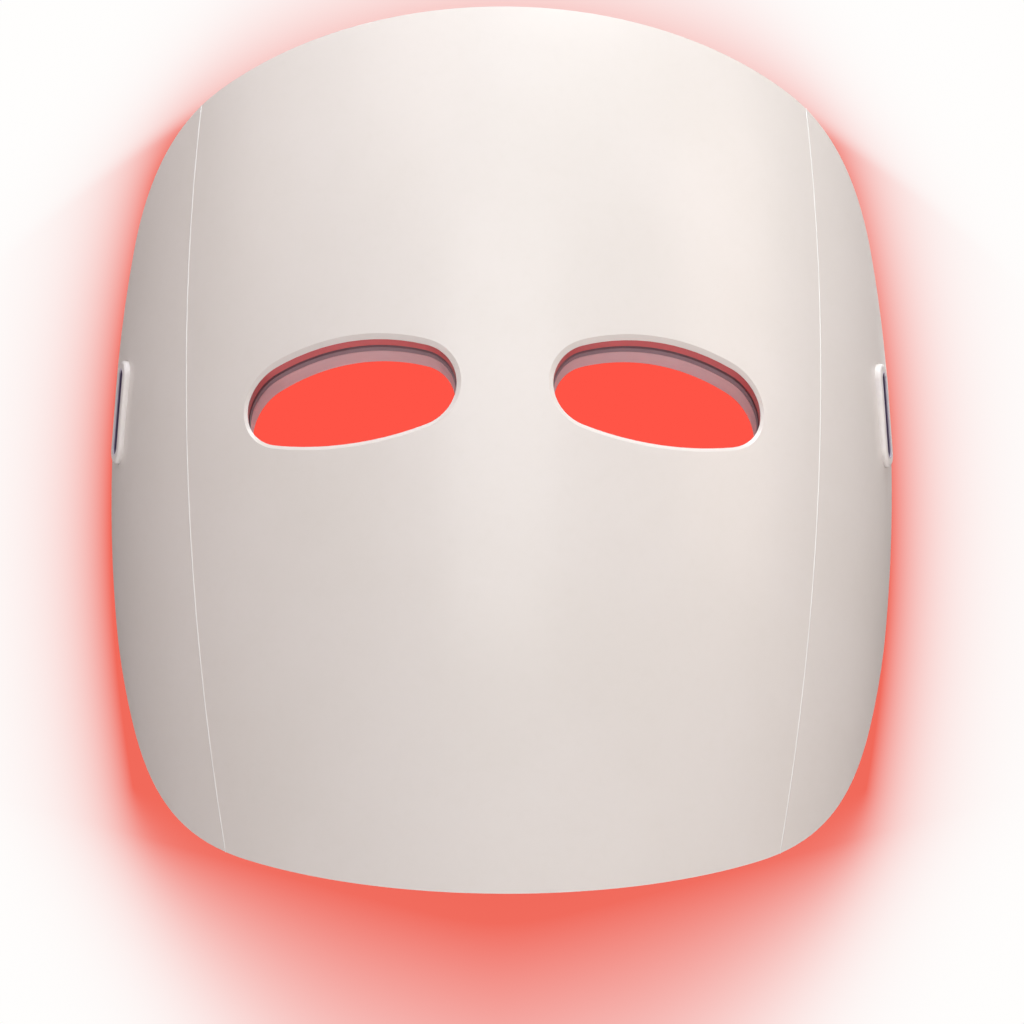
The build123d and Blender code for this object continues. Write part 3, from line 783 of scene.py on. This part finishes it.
@dataclass
class StrapAnchors:
    """Raised strap rings at the temples, with painted shade inside the slots.

    Attributes:
        theta: degrees round to a slot.
        height: height of a slot's middle in millimetres.
        tilt: degrees that a slot leans with the rear edge.
        length: length of the clear slot in millimetres.
        width: width of the clear slot in millimetres.
        ring_height: how far a ring stands proud in millimetres.
        lip_start: distance outside the slot where the lip's colour starts, in millimetres.
        lip_full: distance outside the slot where it is full, in millimetres.
        dark_start: depth under the ring's top where the painted shade starts, in millimetres.
        dark_full: depth under the ring's top where it is full, in millimetres.
        cream: colour of the ring.
        lilac: colour of the slot's lip, painted shading of its rounded edge.
        dark: painted shade inside the slot.
    """

    theta: float = 70.2
    height: float = 16.8
    tilt: float = 17.5
    length: float = 20.0
    width: float = 3.6
    ring_height: float = 1.1
    lip_start: float = 0.5
    lip_full: float = 0.15
    dark_start: float = 0.1
    dark_full: float = 0.5
    cream: Colour = linear(248, 243, 239)
    lilac: Colour = linear(226, 218, 232)
    dark: Colour = linear(84, 68, 100)

    def build(self) -> None:
        """Dresses the rings."""
        for side in Side:
            dress(self.ring(side), f"strap_ring_{side.word}")

    def ring(self, side: Side) -> bpy.types.Material:
        """Cream plastic with painted lilac shading at the slot's lip and painted purple shade inside.

        Args:
            side: the ring's side.

        Returns:
            The material.
        """
        g = Graph(f"cream_strap_ring_{side.word}")
        lean = Matrix.Rotation(math.radians(side.value * self.tilt), 4, "Z")
        turned = BARREL.seat(side.value * self.theta, self.height) @ lean
        inputs = {
            "Vector": g.place(),
            "Location": turned.to_translation(),
            "Rotation": turned.to_euler(),
        }
        local = g.node("ShaderNodeMapping", {"vector_type": "TEXTURE"}, inputs)
        parts = g.node("ShaderNodeSeparateXYZ", None, {0: local.outputs[0]})
        x, y, z = (Wave(g, parts.outputs[name]) / MM for name in "XYZ")
        past = (abs(y) - (self.length - self.width) / 2).math("MAXIMUM", 0.0)
        reach = (x ** 2.0 + past ** 2.0).math("SQRT") - self.width / 2
        bore = reach.step(self.lip_start, self.lip_full)
        # Painted shade: the slot turns purple below its lip.
        shade_depth = z.step(self.ring_height - self.dark_start, self.ring_height - self.dark_full)
        shade = g.mix(g.noise(6.0, 3.0).step(0.4, 0.7) * 0.2, self.cream, self.lilac)
        # Painted shading: the lip turns lilac round the slot.
        lip = g.mix(bore, shade, self.lilac)
        g.set("Base Color", g.mix(bore * shade_depth, lip, self.dark))
        g.set("Roughness", g.noise(5.0, 3.0) * 0.1 + 0.26)
        g.set("Coat Weight", 0.2)
        g.bump(g.noise(0.7, 2.0), 0.002)
        return g.material


@dataclass
class LightPanel:
    """LED boards, their links, the LEDs with their reflector cups, and the clear window.

    Attributes:
        cup_inner: the cup's bore at the board, in millimetres.
        cup_mouth: the cup's bore at its mouth, in millimetres.
        cup_outer: the cup's outside, in millimetres.
        cup_height: how far the cup stands off the board, in millimetres.
        cup_seat: distance from an LED's middle out to the board, in millimetres.
        cup_steps: how many steps a cup's turn has.
        board: finish of the boards.
        cup: finish of the cups.
        link: finish of the links between the boards.
        window: finish of the clear window.
        lenses: finish of each kind of LED.
    """

    cup_inner: float = 2.75
    cup_mouth: float = 3.5
    cup_outer: float = 3.9
    cup_height: float = 1.5
    cup_seat: float = 0.82
    cup_steps: int = 20
    board: Circuit = Circuit("white_led_board", linear(236, 236, 232), linear(222, 214, 196))
    cup: Moulded = Moulded("white_reflector", linear(246, 246, 244), linear(240, 240, 238),
                           roughness=0.25)
    link: Moulded = Moulded("amber_film", linear(196, 128, 40), linear(176, 108, 30), roughness=0.3)
    window: Clear = Clear("clear_window", linear(238, 240, 244))
    lenses: dict[LedKind, Lens] = field(default_factory=lambda: {
        LedKind.RED: Lens("red_led", linear(255, 120, 96), (1.0, 0.06, 0.03), 26.0),
        LedKind.INFRARED: Lens("infrared_led", linear(84, 40, 56), (0.6, 0.01, 0.02), 0.6),
        LedKind.BLUE: Lens("clear_led", linear(226, 228, 216), (1.0, 0.10, 0.05), 0.0),
    })

    def cup_shape(self) -> bmesh.types.BMesh:
        """One reflector cup on the board, opening towards the face.

        Returns:
            The cup's mesh.
        """
        profile = [
            (self.cup_inner, 0.0),
            (self.cup_mouth, -self.cup_height),
            (self.cup_outer, -self.cup_height),
            (self.cup_outer, 0.0),
        ]
        return spun_ring(profile, self.cup_steps)

    def build(self) -> None:
        """Dresses the panel and builds the cups."""
        dress(self.board.make(), "led_board_center", *pair("led_board"))
        dress(self.link.make(), *pair("board_link"))
        dress(self.window.make(), "inner_panel")
        for kind, lens in self.lenses.items():
            dress(lens.make(), f"leds_{kind.value}")
        cup = self.cup.make()
        lift = Matrix.Translation(mm(0, 0, self.cup_seat))
        for kind in self.lenses:
            centres = island_centres(f"leds_{kind.value}")
            cups = repeat(self.cup_shape, [BARREL.seat_at(centre) @ lift for centre in centres])
            finish_mesh(f"reflector_cups_{kind.value}", cups, cup)


@dataclass
class FacePads:
    """Soft silicone pads that keep the window off the wearer's skin.

    Attributes:
        finish: finish of the pads.
        voxel: voxel of the remesh in millimetres.
        fill: how full a pad is, from 0 to 1.
        crown: share of a pad's thickness that it loses at its edge.
        crown_power: how suddenly it loses that.
        passes: how many times a pad is smoothed.
        smoothing: how far each pass goes.
    """

    finish: Moulded = Moulded("soft_grey_silicone", linear(206, 202, 204), linear(194, 190, 194),
                              roughness=0.6, grain=0.8, relief=0.008, soft=0.4)
    voxel: float = 0.5
    fill: float = 0.85
    crown: float = 0.38
    crown_power: int = 3
    passes: int = 14
    smoothing: float = 0.5

    def build(self) -> None:
        """Builds one crowned pad for each CAD pad."""
        material = self.finish.make()
        for node in ("forehead_pad", "nose_pad", *pair("cheek_pad")):
            piece = self.cushion(node, material)
            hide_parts(node)

    def cushion(self, node: str, material: bpy.types.Material) -> bpy.types.Object:
        """Crowned pad in the space of a CAD pad.

        Args:
            node: the CAD pad's name.
            material: its material.

        Returns:
            The piece.
        """
        bm = merged(node)
        centre = sum((v.co for v in bm.verts), Vector()) / len(bm.verts)
        seat = BARREL.seat_at(centre)
        rough = bpy.data.meshes.new(node + "_rough")
        bm.to_mesh(rough)
        bm.free()
        shell = bpy.data.objects.new(node + "_rough", rough)
        bpy.context.scene.collection.objects.link(shell)
        remesh = shell.modifiers.new("voxels", "REMESH")
        remesh.mode = "VOXEL"
        remesh.voxel_size = self.voxel * MM
        graph = bpy.context.evaluated_depsgraph_get()
        fine = bpy.data.meshes.new_from_object(shell.evaluated_get(graph))
        bpy.data.objects.remove(shell)
        soft = bmesh.new()
        soft.from_mesh(fine)
        local = [seat.inverted() @ v.co for v in soft.verts]
        half_x = max(abs(p.x) for p in local)
        half_y = max(abs(p.y) for p in local)
        face = min(p.z for p in local)
        back = max(p.z for p in local)
        for vert, spot in zip(soft.verts, local):
            reach = max(abs(spot.x) / half_x, abs(spot.y) / half_y)
            share = (back - spot.z) / (back - face)
            spot.z += (back - face) * self.crown * share * reach ** self.crown_power
            vert.co = seat @ spot
        for _ in range(self.passes):
            bmesh.ops.smooth_vert(soft, verts=soft.verts, factor=self.smoothing,
                                  use_axis_x=True, use_axis_y=True, use_axis_z=True)
        return finish_mesh(node.replace("_pad", "_cushion"), soft, material)


@dataclass
class Electronics:
    """Battery, control board and what is on it.

    Attributes:
        board: finish of the control board.
        chip: finish of the moulded components.
        foil: finish of the battery's pouch.
        foam: finish of the battery's pad.
        wire: finish of the battery's leads.
        nylon: finish of the battery's plug.
        steel: finish of the screws, switches and socket.
        film: finish of the LED ribbon.
    """

    board: Moulded = Moulded("green_board", linear(20, 92, 52), linear(14, 76, 42), roughness=0.35)
    chip: Moulded = Moulded("black_epoxy", linear(34, 34, 36), linear(26, 26, 28), roughness=0.5)
    foil: Metal = Metal("pouch_foil", (0.70, 0.71, 0.73), 0.42, 1.5)
    foam: Moulded = Moulded("black_foam", linear(40, 40, 42), linear(30, 30, 32),
                            roughness=0.85, grain=0.6, relief=0.05)
    wire: Moulded = Moulded("red_insulation", linear(190, 40, 36), linear(168, 32, 30), roughness=0.45)
    nylon: Moulded = Moulded("nylon_plug", linear(232, 228, 214), linear(222, 216, 200),
                             roughness=0.45, soft=0.2)
    steel: Metal = Metal("zinc_steel", (0.62, 0.62, 0.64), 0.28, 0.4)
    film: Moulded = Moulded("ribbon_film", linear(196, 128, 40), linear(176, 108, 30), roughness=0.3)

    def build(self) -> None:
        """Dresses the electronics."""
        dress(self.board.make(), "control_board")
        dress(self.chip.make(), "controller_chip", "inductor", "buzzer")
        dress(self.foil.make(), "battery_cell")
        dress(self.foam.make(), "battery_pad")
        dress(self.wire.make(), "battery_leads")
        dress(self.nylon.make(), "battery_plug")
        dress(self.steel.make(), "shell_screws", "board_screws", "tact_switches", "usb_c_socket")
        dress(self.film.make(), "led_ribbon")


@dataclass
class Controls:
    """Push buttons and the status light in the chin's rim.

    Attributes:
        cap: finish of the buttons.
        pipe: finish of the status light.
    """

    cap: Moulded = Moulded("white_button", linear(238, 232, 228), linear(230, 224, 220),
                           roughness=0.34, coat=0.1)
    pipe: Lens = Lens("status_light", linear(170, 236, 190), (0.12, 1.0, 0.35), 1.6)

    def build(self) -> None:
        """Dresses the controls."""
        dress(self.cap.make(), "power_button", "mode_button")
        dress(self.pipe.make(), "status_light_pipe")


# --- Studio --------------------------------------------------------------------------------------------
@dataclass(frozen=True)
class Softbox:
    """A soft light.

    Attributes:
        name: its name.
        place: where it is, in metres.
        size: its width in metres.
        power: its power in watts.
        colour: its colour.
    """

    name: str
    place: tuple[float, float, float]
    size: float
    power: float
    colour: Colour = (1.0, 1.0, 1.0)

    def build(self) -> None:
        """Adds the light, aimed at the mask."""
        data = bpy.data.lights.new(self.name, "AREA")
        data.size = self.size
        data.energy = self.power
        data.color = self.colour
        lamp = bpy.data.objects.new(self.name, data)
        lamp.location = self.place
        lamp.rotation_euler = (-Vector(self.place)).to_track_quat("-Z", "Y").to_euler()
        lamp.visible_camera = False
        bpy.context.scene.collection.objects.link(lamp)


@dataclass(frozen=True)
class Halo:
    """Painted red glow on the backdrop round the mask's shadow line, standing in for the LEDs' light,
    sizes in millimetres on the backdrop.

    Attributes:
        half_width: half the line's width at its widest.
        widest: height where it is widest.
        narrowing: how fast it narrows above and below, per millimetre.
        chin: height of its lowest point.
        chin_round: rounding of that point.
        chin_slope: rise of the line beside that point.
        crown: height of its highest point.
        crown_fall: fall of the line beside that point, per millimetre.
        below_share: how much of the distance under the chin counts.
        above_share: how much of the distance over the crown counts.
        corner_blur: how soft the glow's corners are under the chin and over the crown.
        corner_reach: how far inside the line that softness starts.
        flank_start: distance from the middle where the glow under the chin starts to thin.
        flank_share: how fast it thins there.
        above_start: distance that the crown's edge counts as.
        above_low: height over the crown's line where that starts.
        above_high: height over the crown's line where it is full.
        fade: distance in which the glow falls to a third.
        core_inset: how far inside the line the full colour starts.
        pale: the unlit backdrop.
        rim: the painted glow at the line.
        core: the painted light behind the mask.
    """

    half_width: float = 99.6
    widest: float = 30.0
    narrowing: float = 0.00125
    chin: float = -91.0
    chin_round: float = 12.0
    chin_slope: float = 0.28
    crown: float = 157.0
    crown_fall: float = 0.004
    below_share: float = 0.12
    above_share: float = 0.55
    corner_blur: float = 0.4
    corner_reach: float = 12.0
    flank_start: float = 30.0
    flank_share: float = 0.00004
    above_start: float = 4.5
    above_low: float = -2.0
    above_high: float = 6.0
    fade: float = 11.3
    core_inset: float = 8.0
    pale: Colour = linear(255, 254, 253)
    rim: Colour = linear(241, 106, 91)
    core: Colour = linear(255, 85, 71)


@dataclass
class Studio:
    """Camera, soft lights, floor and backdrop.

    Attributes:
        camera_place: where the camera is, in millimetres.
        camera_azimuth: degrees that it looks round from straight ahead.
        camera_lift: degrees that it looks up.
        lens: its focal length in millimetres.
        sensor: its sensor's width in millimetres.
        clip: nearest and furthest distance that it sees, in metres.
        floor_z: height of the floor in millimetres.
        floor_reach: half the floor's width in metres.
        backdrop_y: place of the backdrop in millimetres.
        backdrop_reach: half the backdrop's width in metres.
        halo: painted glow on the backdrop.
        ambient: colour of the even light.
        ambient_strength: strength of the even light.
        surround: colour beyond the backdrop.
        lights: the soft lights.
    """

    camera_place: tuple[float, float, float] = (-5.65, -754.72, -270.68)
    camera_azimuth: float = 0.62
    camera_lift: float = 20.0
    lens: float = 116.67
    sensor: float = 36.0
    clip: tuple[float, float] = (0.01, 20.0)
    floor_z: float = -400.0
    floor_reach: float = 3.0
    backdrop_y: float = 42.0
    backdrop_reach: float = 1.5
    halo: Halo = Halo()
    ambient: Colour = (1.0, 0.88, 0.88)
    ambient_strength: float = 0.225
    surround: Colour = linear(244, 242, 241)
    lights: list[Softbox] = field(default_factory=lambda: [
        Softbox("high", (0.15, -0.42, 0.80), 0.5, 5.5, (0.86, 0.95, 1.0)),
        Softbox("front", (0.0, -1.5, 0.3), 0.8, 5.4, (0.98, 1.0, 1.0)),
        Softbox("right", (0.95, -0.45, 0.35), 0.6, 2.3, (1.0, 0.86, 0.78)),
        Softbox("left", (-0.95, -0.4, 0.75), 0.6, 1.3, (1.0, 0.88, 0.88)),
        Softbox("upper_left", (-0.5, -0.85, 0.85), 0.6, 1.8, (1.0, 0.86, 0.82)),
        Softbox("back", (0.3, 1.1, 0.9), 0.8, 4.8),
    ])

    def build(self) -> None:
        """Builds the studio."""
        self.camera()
        for light in self.lights:
            light.build()
        self.world()
        self.floor()
        self.backdrop()
        settings = bpy.context.scene.view_settings
        settings.view_transform = "Standard"
        settings.look = "None"

    def camera(self) -> None:
        """Camera below the eyes that looks up at the mask."""
        data = bpy.data.cameras.new("camera")
        data.lens = self.lens
        data.sensor_width = self.sensor
        data.clip_start, data.clip_end = self.clip
        camera = bpy.data.objects.new("camera", data)
        turn, lift = math.radians(self.camera_azimuth), math.radians(self.camera_lift)
        look = Vector((math.sin(turn) * math.cos(lift), math.cos(turn) * math.cos(lift), math.sin(lift)))
        camera.location = mm(*self.camera_place)
        camera.rotation_euler = look.to_track_quat("-Z", "Y").to_euler()
        bpy.context.scene.collection.objects.link(camera)
        bpy.context.scene.camera = camera

    def world(self) -> None:
        """Soft even surround that looks pale behind the mask."""
        world = bpy.data.worlds.new("surround")
        world.use_nodes = True
        tree = world.node_tree
        soft = tree.nodes["Background"]
        soft.inputs["Color"].default_value = (*self.ambient, 1.0)
        soft.inputs["Strength"].default_value = self.ambient_strength
        seen = tree.nodes.new("ShaderNodeBackground")
        seen.inputs["Color"].default_value = (*self.surround, 1.0)
        choice = tree.nodes.new("ShaderNodeMixShader")
        tree.links.new(tree.nodes.new("ShaderNodeLightPath").outputs["Is Camera Ray"], choice.inputs[0])
        tree.links.new(soft.outputs[0], choice.inputs[1])
        tree.links.new(seen.outputs[0], choice.inputs[2])
        tree.links.new(choice.outputs[0], tree.nodes["World Output"].inputs["Surface"])
        bpy.context.scene.world = world

    def floor(self) -> None:
        """Pale floor well under the mask."""
        finish = Moulded("pale_floor", linear(246, 244, 243), linear(242, 240, 239),
                         roughness=0.6, grain=3.0)
        under = Matrix.Translation(mm(0, 0, self.floor_z))
        bm = bmesh.new()
        bmesh.ops.create_grid(bm, x_segments=1, y_segments=1, size=self.floor_reach, matrix=under)
        self.stage("floor", bm, finish.make())

    def backdrop(self) -> None:
        """Pale backdrop close behind the mask with a painted glow of its red light, open from behind."""
        g = Graph("lit_backdrop")
        x, _, z = g.split()
        # The halo is painted light: emission on the backdrop, shaped round the mask's outline.
        halo = self.halo
        beside = abs(x) - halo.half_width + (z - halo.widest) ** 2.0 * halo.narrowing
        below = halo.chin - z + (x ** 2.0 + halo.chin_round ** 2).math("SQRT") * halo.chin_slope
        above = z - halo.crown + x ** 2.0 * halo.crown_fall
        under, over = below.math("MAXIMUM", 0.0), above.math("MAXIMUM", 0.0)
        low_reach = (below + halo.corner_reach).math("MAXIMUM", 0.0)
        high_reach = (above + halo.corner_reach).math("MAXIMUM", 0.0)
        blur = (low_reach + high_reach) * halo.corner_blur
        aside = (beside + (beside ** 2.0 + blur ** 2.0).math("SQRT")) * 0.5
        flank = (abs(x) - halo.flank_start).math("MAXIMUM", 0.0)
        spread = aside + under * (flank ** 2.0 * halo.flank_share + halo.below_share)
        edge = above.step(halo.above_low, halo.above_high) * halo.above_start
        spread = spread + over * halo.above_share + edge
        strength = (spread / -halo.fade).math("EXPONENT")
        nearest = beside.math("MAXIMUM", below).math("MAXIMUM", above)
        inside = nearest.step(-halo.core_inset, -2.0 * halo.core_inset)
        colour = g.mix(inside, g.mix(strength, halo.pale, halo.rim), halo.core)
        # Emission paints the red glow and the light behind the mask; no lamp casts it.
        lit = g.node("ShaderNodeEmission", None, {"Color": colour, "Strength": 1.0})
        clear = g.node("ShaderNodeBsdfTransparent")
        behind = g.node("ShaderNodeNewGeometry").outputs["Backfacing"]
        both = g.node("ShaderNodeMixShader", None, {0: behind, 1: lit.outputs[0], 2: clear.outputs[0]})
        g.tree.links.new(both.outputs[0], g.output.inputs["Surface"])
        turned = Matrix.Translation(mm(0, self.backdrop_y, 0)) @ Matrix.Rotation(math.pi / 2, 4, "X")
        bm = bmesh.new()
        bmesh.ops.create_grid(bm, x_segments=1, y_segments=1, size=self.backdrop_reach, matrix=turned)
        wall = self.stage("backdrop", bm, g.material)
        wall.visible_diffuse = False
        wall.visible_glossy = False
        wall.visible_shadow = False

    @staticmethod
    def stage(name: str, bm: bmesh.types.BMesh, material: bpy.types.Material) -> bpy.types.Object:
        """Adds a piece of the studio.

        Args:
            name: its name.
            bm: its mesh, which is freed.
            material: its material.

        Returns:
            The piece.
        """
        mesh = bpy.data.meshes.new(name)
        bm.to_mesh(mesh)
        bm.free()
        mesh.materials.append(material)
        piece = bpy.data.objects.new(name, mesh)
        bpy.context.scene.collection.objects.link(piece)
        return piece


def main() -> None:
    """Builds the mask's looks and the studio."""
    logging.basicConfig(level=logging.INFO, format="%(message)s")
    Studio().build()
    parts = (Covers(), EyeOpenings(), StrapAnchors(), LightPanel(), FacePads(), Electronics(), Controls())
    for part in parts:
        part.build()


if __name__ == "__main__":
    main()
